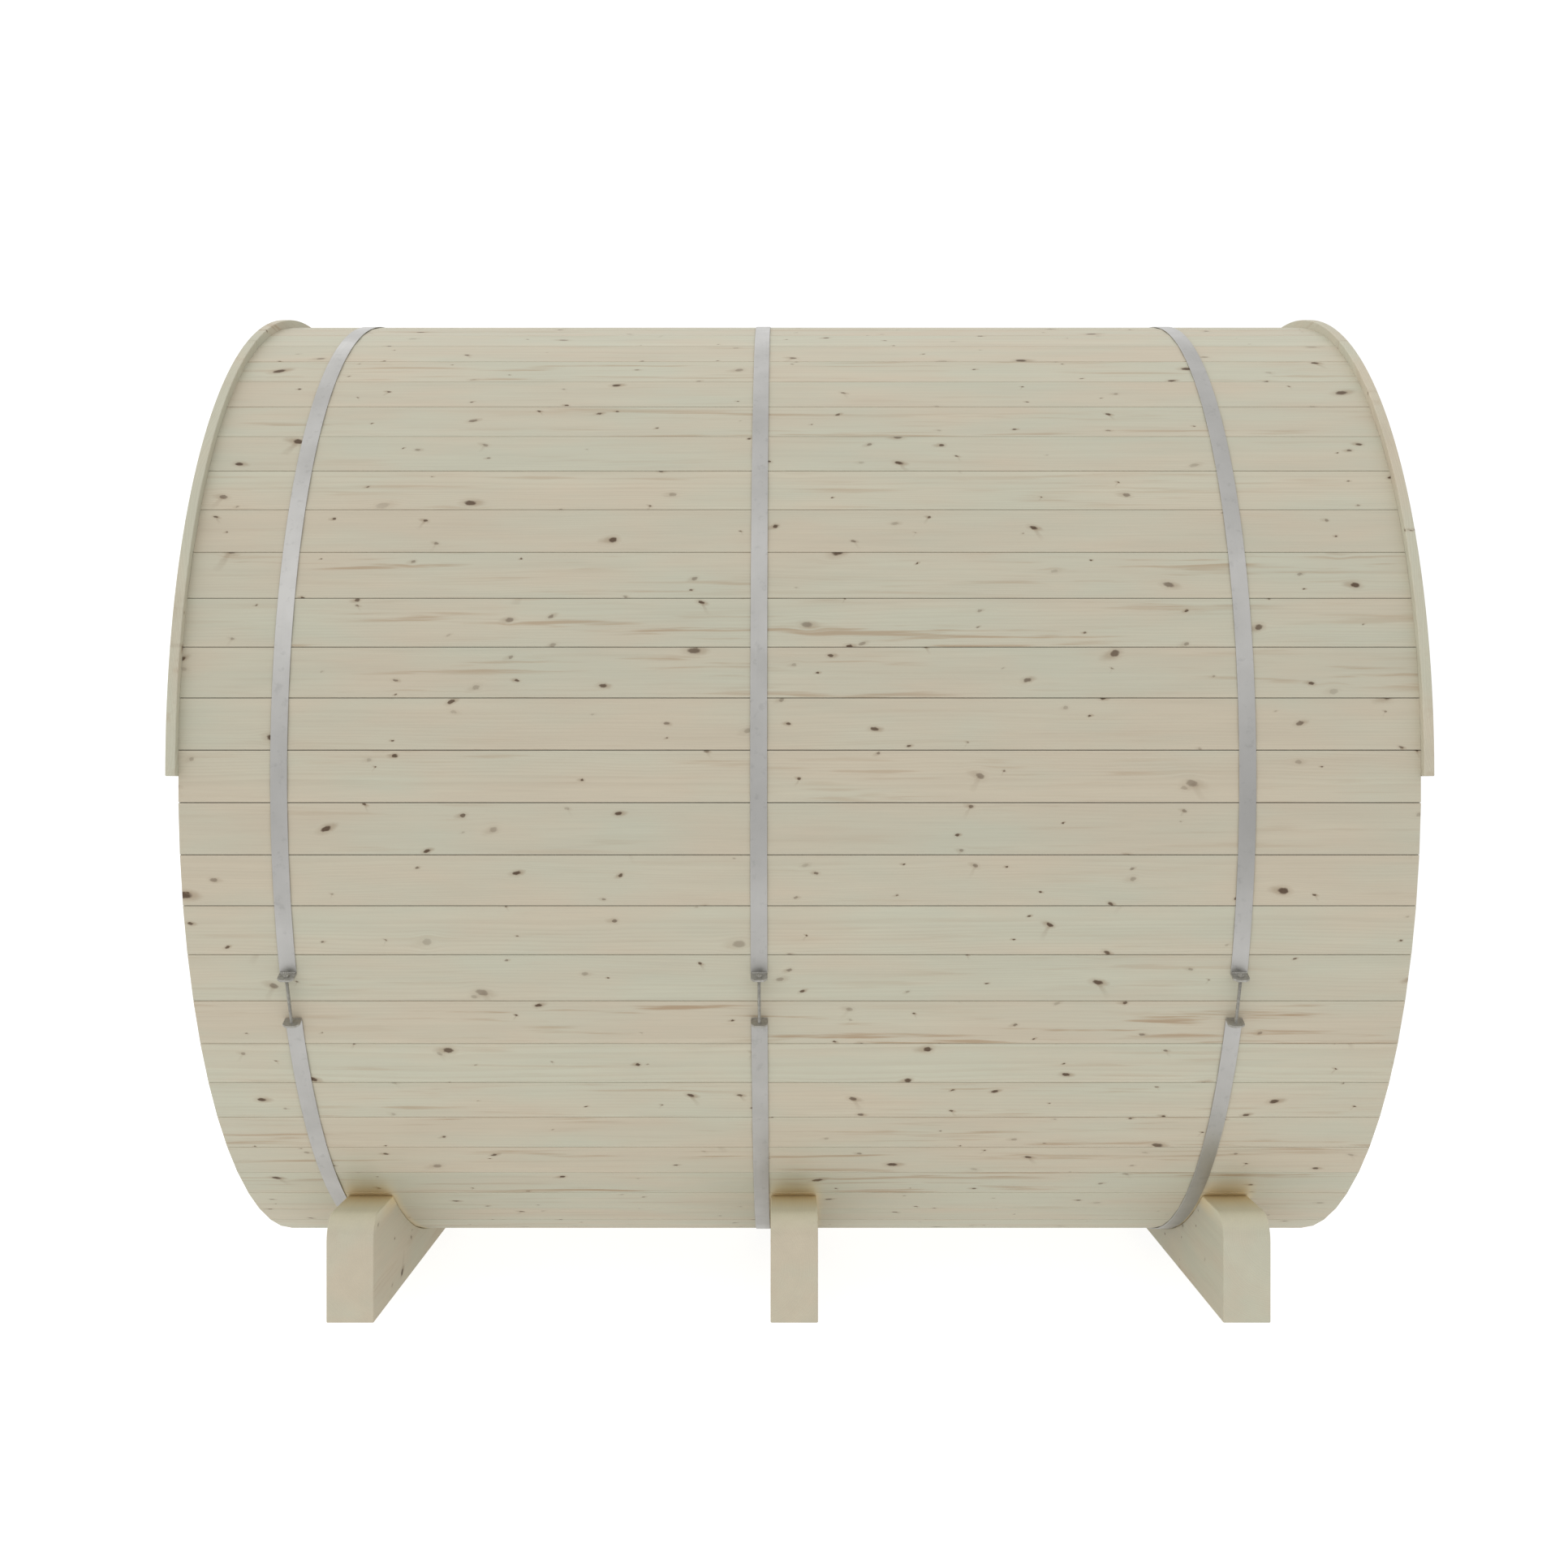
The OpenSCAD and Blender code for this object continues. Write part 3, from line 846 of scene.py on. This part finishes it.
def rounded_rectangle(half_a, half_b, radius, steps):
    """The outline of a rectangle round the origin, with steps + 1 points at each corner."""
    quarter = math.pi / 2
    corners = ((1, 1), (-1, 1), (-1, -1), (1, -1))
    points = []
    for i, (sa, sb) in enumerate(corners):
        centre = (sa * (half_a - radius), sb * (half_b - radius))
        points += arc(centre, radius, i * quarter, (i + 1) * quarter, steps)
    return points


HINGE_PLATE_T = 0.0025
HINGE_CORNER = 0.005
HINGE_EDGE = 0.0004
PLATE_FROM = 0.55                           # a plate starts this share of a knuckle from the pin
HINGE_SCREWS = ((-0.032, 0.004), (0.0, -0.004), (0.032, 0.004))    # (up, away from the pin)
HINGE_SCREW_R = 0.0034
KNUCKLES = 5
KNUCKLE_SIDES, PIN_SIDES = 32, 24
KNUCKLE_GAP = 0.0006
PIN = 0.62                                  # its radius as a share of a knuckle's
PIN_DOME = ((1.0, 0.0), (1.0, 0.0012), (0.8, 0.0026), (0.35, 0.0033))


def build_hinges():
    """Three butt hinges: two plates with screws, a barrel of knuckles and a domed pin."""
    piece = Piece("hinges")
    screws = Piece("hinge_screws")
    y_low, y_high = span("door_hinges", 1)
    knuckle = (span("door_hinges", 0)[1] - FRAME_X) / 2
    middle = (y_low + y_high) / 2
    near, far = knuckle * PLATE_FROM, (y_high - y_low) / 2
    outline = rounded_rectangle((far - near) / 2, HINGE_H / 2, HINGE_CORNER, 4)
    reach = LEAF_H - HINGE_INSET
    for z in (-reach, 0.0, reach):
        for s in (-1, 1):
            centre = middle + s * (near + far) / 2
            plate = [(centre + a, z + b) for a, b in outline]
            piece.add(prism(plate, 0.0, HINGE_PLATE_T, lambda a, b, h: from_axis(FRAME_X + h, a, b)))
            for up, away in HINGE_SCREWS:
                at = from_axis(FRAME_X + HINGE_PLATE_T, centre + s * away, z + up)
                screw_head(screws, at, X, HINGE_SCREW_R)
        part = HINGE_H / KNUCKLES
        eased = knuckle - KNUCKLE_GAP
        for i in range(KNUCKLES):
            low = -HINGE_H / 2 + i * part + KNUCKLE_GAP / 2
            high = low + part - KNUCKLE_GAP
            profile = ((eased, low), (knuckle, low + KNUCKLE_GAP),
                       (knuckle, high - KNUCKLE_GAP), (eased, high))
            piece.add(lathe(profile, from_axis(FRAME_X + knuckle, middle, z), Z, KNUCKLE_SIDES))
        dome = [(knuckle * PIN * share, height) for share, height in PIN_DOME]
        for s in (-1, 1):
            top = from_axis(FRAME_X + knuckle, middle, z + s * HINGE_H / 2)
            piece.add(lathe(dome, top, Z * s, PIN_SIDES))
    piece.make(DARK_STEEL, "dark_steel", ["door_hinges"], bevel=HINGE_EDGE)
    screws.make(SCREW_STEEL, "dark_steel")


HANDLE_STEPS = 28
HANDLE_EDGE = 0.0006
HANDLE_NOSE = 0.016                         # length over which each end of the bar rounds off
HANDLE_BELLY = 0.10                         # how much thinner the bar is at its ends
HANDLE_POST_IN = 0.012                      # from the ends of the bar, beside half its width
# The turned posts, as (share of half the bar's width, height), and the share at their top.
HANDLE_POST = ((0.98, 0.0), (0.98, 0.004), (0.74, 0.010), (0.66, 0.020), (0.74, 0.032))
HANDLE_POST_TOP = 0.80
HANDLE_POST_SIDES = 32


def build_handle():
    """A bar on two turned posts, thickest in the middle and rounded at the ends."""
    piece = Piece("pull_handle")
    (x_low, x_high), (y_low, y_high), (z_low, z_high) = (span("door_handle", i) for i in range(3))
    y, half = (y_low + y_high) / 2, (y_high - y_low) / 2
    tall = z_high - z_low
    bar_x = x_high - half
    rings = []
    for i in range(HANDLE_STEPS + 1):
        t = i / HANDLE_STEPS
        nose = min(t, 1 - t) * tall / HANDLE_NOSE
        size = half * math.sqrt(max(0.12, 1 - max(0.0, 1 - nose) ** 2))
        size *= 1 - HANDLE_BELLY * abs(2 * t - 1) ** 2
        outline = rounded_rectangle(size, size, size * 0.55, 5)
        rings.append([Vector((bar_x + a, y + b, z_low + tall * t)) for a, b in outline])
    piece.add_board(loft(rings), Z, Y)
    for z, s in ((z_low + half, 1), (z_high - half, -1)):
        post = [(half * share, height) for share, height in HANDLE_POST]
        post.append((half * HANDLE_POST_TOP, bar_x - x_low))
        foot = Vector((x_low, y, z + s * HANDLE_POST_IN))
        piece.add_board(lathe(post, foot, X, HANDLE_POST_SIDES), X, Y)
    piece.make(HANDLE_WOOD, "handle_wood", ["door_handle"], bevel=HANDLE_EDGE)


# ---------------------------------------------------------------- hoops and tensioners

HOOP_STEPS = 272
HOOP_EDGE = 0.0004
LUG_CORNER = 0.007
LUG_SUNK = 0.0012                           # how far a lug reaches into the hoop
LUG_EDGE = 0.0005
WELD_R = 0.0019
WELD_RIPPLE, WELD_UNEVEN = 0.0003, 0.0001
WELD_STEPS, WELD_SIDES = 60, 10
WELD_END = 0.001                            # from the sides of the hoop
THREAD_PITCH = 0.001
THREAD_DEPTH = 0.0006
THREAD_SIDES, THREAD_STEPS = 20, 6          # round the rod, and along it in each turn
ROD_TAPER, ROD_TAPER_DEPTH = 0.0012, 0.0006
NUT_EDGE = 0.0005
NUT_SIDES = 48


def at_tensioner(x, out, round_way, along):
    """A point beside a tensioner: out from the axis, round_way down the gap, along the barrel."""
    a = TENSIONER_ANGLE
    return Vector((
        x + along,
        out * math.cos(a) - round_way * math.sin(a),
        AXIS_Z + out * math.sin(a) + round_way * math.cos(a),
    ))


def build_hoop(place):
    """A band round the barrel, open at its tensioner."""
    piece = Piece(f"hoop_band_{place}")
    x_low, x_high = span(f"hoop_{place}", 0)
    half_gap = math.asin(HOOP_OPENING / 2 / HOOP_OUT)
    start, stop = TENSIONER_ANGLE + half_gap, TENSIONER_ANGLE - half_gap + math.tau
    section = ((HOOP_IN, x_low), (HOOP_OUT, x_low), (HOOP_OUT, x_high), (HOOP_IN, x_high))
    piece.add(band(section, start, stop, HOOP_STEPS))
    piece.make(HOOP_STEEL, "hoop_steel", [f"hoop_{place}"], bevel=HOOP_EDGE)


def build_lugs(place, x):
    """The standing plates at the ends of a hoop, each with a weld bead behind it."""
    piece = Piece(f"lug_plates_{place}")
    gap, outer = HOOP_OPENING / 2, HOOP_OPENING / 2 + LUG_T
    top = math.sqrt(radii(f"hoop_lugs_{place}")[1] ** 2 - gap ** 2)
    half = HOOP_W / 2
    foot = HOOP_OUT - LUG_SUNK
    outline = [(foot, -half), (top - LUG_CORNER, -half), (top, -half + LUG_CORNER),
               (top, half - LUG_CORNER), (top - LUG_CORNER, half), (foot, half)]
    turns = [math.tau * j / WELD_SIDES for j in range(WELD_SIDES)]
    for s in (-1, 1):
        low, high = mirrored(s, gap, outer)
        piece.add(prism(outline, low, high, lambda a, b, h: at_tensioner(x, a, h, b)))
        rings = []
        for k in range(WELD_STEPS + 1):
            along = -half + WELD_END + (HOOP_W - 2 * WELD_END) * k / WELD_STEPS
            r = WELD_R + WELD_RIPPLE * math.sin(k * 0.9) + rng.uniform(-WELD_UNEVEN, WELD_UNEVEN)
            rings.append([
                at_tensioner(x, HOOP_OUT + r * math.cos(b), s * outer + r * math.sin(b), along)
                for b in turns
            ])
        piece.add(loft(rings))
    piece.make(DARK_STEEL, "dark_steel", [f"hoop_lugs_{place}"], bevel=LUG_EDGE)


def hexagon(radius, angle):
    """Distance from the middle to a nut's side, where radius is that to its corners."""
    flat = radius * math.cos(math.pi / 6)
    return min(radius, flat / math.cos((angle + math.pi / 6) % (math.pi / 3) - math.pi / 6))


def build_rod(place, x):
    """The threaded rod through both lugs, with a hexagonal nut outside each."""
    piece = Piece(f"threaded_rod_{place}")
    rod = HOOP_OUT + ROD_HEIGHT
    middle = at_tensioner(x, rod, 0, 0)
    down = at_tensioner(x, rod, 1, 0) - middle
    half = max((v.co - middle).dot(down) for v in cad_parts[f"tension_rod_{place}"].data.vertices)
    rings = []
    steps = round(2 * half / THREAD_PITCH * THREAD_STEPS)
    for k in range(steps + 1):
        way = -half + 2 * half * k / steps
        taper = min(1.0, (half - abs(way)) / ROD_TAPER)
        ring = []
        for j in range(THREAD_SIDES):
            a = math.tau * j / THREAD_SIDES
            phase = (way / THREAD_PITCH - a / math.tau) % 1
            r = ROD_R - THREAD_DEPTH * abs(2 * phase - 1) - ROD_TAPER_DEPTH * (1 - taper)
            ring.append(at_tensioner(x, rod + r * math.cos(a), way, r * math.sin(a)))
        rings.append(ring)
    piece.add(loft(rings))
    flat = NUT_FLATS / 2
    corner = flat / math.cos(math.pi / 6)
    levels = ((0.0, flat), (NUT_EDGE, corner), (NUT_T - NUT_EDGE, corner), (NUT_T, flat))
    for s in (-1, 1):
        base = at_tensioner(x, rod, s * (HOOP_OPENING / 2 + LUG_T), 0)
        rings = []
        for height, limit in levels:
            shape = lambda r, a: min(hexagon(r, a), limit)
            rings.append(lathe([(corner, height)], base, down * s, NUT_SIDES, shape)[0])
        piece.add(loft(rings))
    piece.make(DARK_STEEL, "dark_steel", [f"tension_rod_{place}"])


def build_hoops():
    for place in PLACES:
        build_hoop(place)
        x = sum(span(f"hoop_{place}", 0)) / 2
        build_lugs(place, x)
        build_rod(place, x)


# ---------------------------------------------------------------- cradles

CORNER_STEPS, SADDLE_STEPS = 8, 40
CRADLE_EDGE = 0.0022


def build_cradle(place):
    """A timber across the barrel, with a saddle and rounded outer top corners."""
    low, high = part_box(f"cradle_{place}")
    half, top, r = high.y, high.z, CRADLE_CORNER
    meet = math.sqrt(HOOP_IN ** 2 - (AXIS_Z - top) ** 2)
    slope = math.atan2(top - AXIS_Z, meet)
    quarter = math.pi / 2
    outline = [(-half, 0.0), (half, 0.0)]
    outline += arc((half - r, top - r), r, 0.0, quarter, CORNER_STEPS)
    outline += arc((0.0, AXIS_Z), HOOP_IN, slope, -math.pi - slope, SADDLE_STEPS)
    outline += arc((-half + r, top - r), r, quarter, 2 * quarter, CORNER_STEPS)
    piece = Piece(f"cradle_timber_{place}")
    piece.add_board(prism(outline, low.x, high.x, lambda y, z, x: Vector((x, y, z))), Y, Z)
    piece.make(CRADLE_WOOD, "cradle_wood", [f"cradle_{place}"], bevel=CRADLE_EDGE, segments=3)


# ---------------------------------------------------------------- camera, floor and light

CAMERA_AT = (-0.0275, -4.326, -0.0134)      # from the middle of the barrel
SENSOR = 36.0
FIELD_OF_VIEW = math.radians(45)
FLOOR_R, FLOOR_T, FLOOR_SIDES = 3.3, 0.02, 96
FLOOR_GREY = (0.35, 0.35, 0.35, 1.0)
FLOOR_GLOW = (0.70, 0.86)                   # on the object, and as the camera sees it
WHITE = (1.0, 1.0, 1.0, 1.0)
LEFT_LIGHT, RIGHT_LIGHT = 1.17, 0.85
SIDE_LIGHT, TOP_LIGHT = 0.17, -0.27         # added from half way up, and straight overhead
DIP, DIP_AT, DIP_NARROW = -0.42, -0.20, 14.0    # low down on the camera's side
BACKDROP = 1.05                             # the least that the camera sees


def build_camera():
    """At the middle height of the barrel, square to its side, a little left of its middle."""
    data = bpy.data.cameras.new("camera")
    data.sensor_width = SENSOR
    data.lens = SENSOR / 2 / math.tan(FIELD_OF_VIEW / 2)
    data.clip_end = 200.0
    camera = bpy.data.objects.new("camera", data)
    camera.location = from_axis(*CAMERA_AT)
    camera.rotation_euler = (math.pi / 2, 0.0, 0.0)
    bpy.context.scene.collection.objects.link(camera)
    bpy.context.scene.camera = camera


def build_floor():
    """A pale disc that glows faintly, as a lit studio table does."""
    floor = bpy.data.objects.new("floor", bpy.data.meshes.new("floor"))
    verts, faces = lathe([(FLOOR_R, -FLOOR_T), (FLOOR_R, 0.0)], Vector(), Z, FLOOR_SIDES)
    floor.data.from_pydata([tuple(v) for v in verts], [], faces)
    material, g = material_graph("pale_floor")
    g.put(g.shader.inputs["Base Color"], FLOOR_GREY)
    g.put(g.shader.inputs["Roughness"], 0.9)
    g.put(g.shader.inputs["Specular IOR Level"], 0.0)
    g.put(g.shader.inputs["Emission Color"], WHITE)
    g.put(g.shader.inputs["Emission Strength"], g.remap(g.is_camera_ray(), 0.0, 1.0, *FLOOR_GLOW))
    floor.data.materials.append(material)
    bpy.context.scene.collection.objects.link(floor)


def build_light():
    """White all round: brighter from the left and from half way up, dimmer overhead, and dimmer
    low down on the camera's side."""
    world = bpy.data.worlds.new("studio")
    g = Graph(world, "ShaderNodeBackground", "ShaderNodeOutputWorld")
    x, y, z = g.separate(g.node("ShaderNodeTexCoord").outputs["Generated"])
    from_dip = g.math("POWER", g.math("SUBTRACT", z, DIP_AT), 2.0)
    near = g.remap(y, 0.2, -0.8, smooth=True)
    dip = g.times(g.math("EXPONENT", g.times(from_dip, -DIP_NARROW)), near, DIP)
    light = g.math("ADD", g.remap(x, -0.35, 0.35, LEFT_LIGHT, RIGHT_LIGHT, smooth=True), dip)
    light = g.math("ADD", light, g.remap(z, 0.3, 0.65, 0.0, SIDE_LIGHT))
    light = g.math("ADD", light, g.remap(z, 0.75, 1.0, 0.0, TOP_LIGHT))
    light = g.math("MAXIMUM", light, g.times(g.is_camera_ray(), BACKDROP))
    g.put(g.shader.inputs["Color"], WHITE)
    g.put(g.shader.inputs["Strength"], light)
    bpy.context.scene.world = world
    bpy.context.scene.view_settings.view_transform = "Standard"


build_camera()
build_floor()
build_light()
build_staves()
build_trims()
build_walls()
build_frame()
build_leaf()
build_hinges()
build_handle()
build_hoops()
for place in PLACES:
    build_cradle(place)
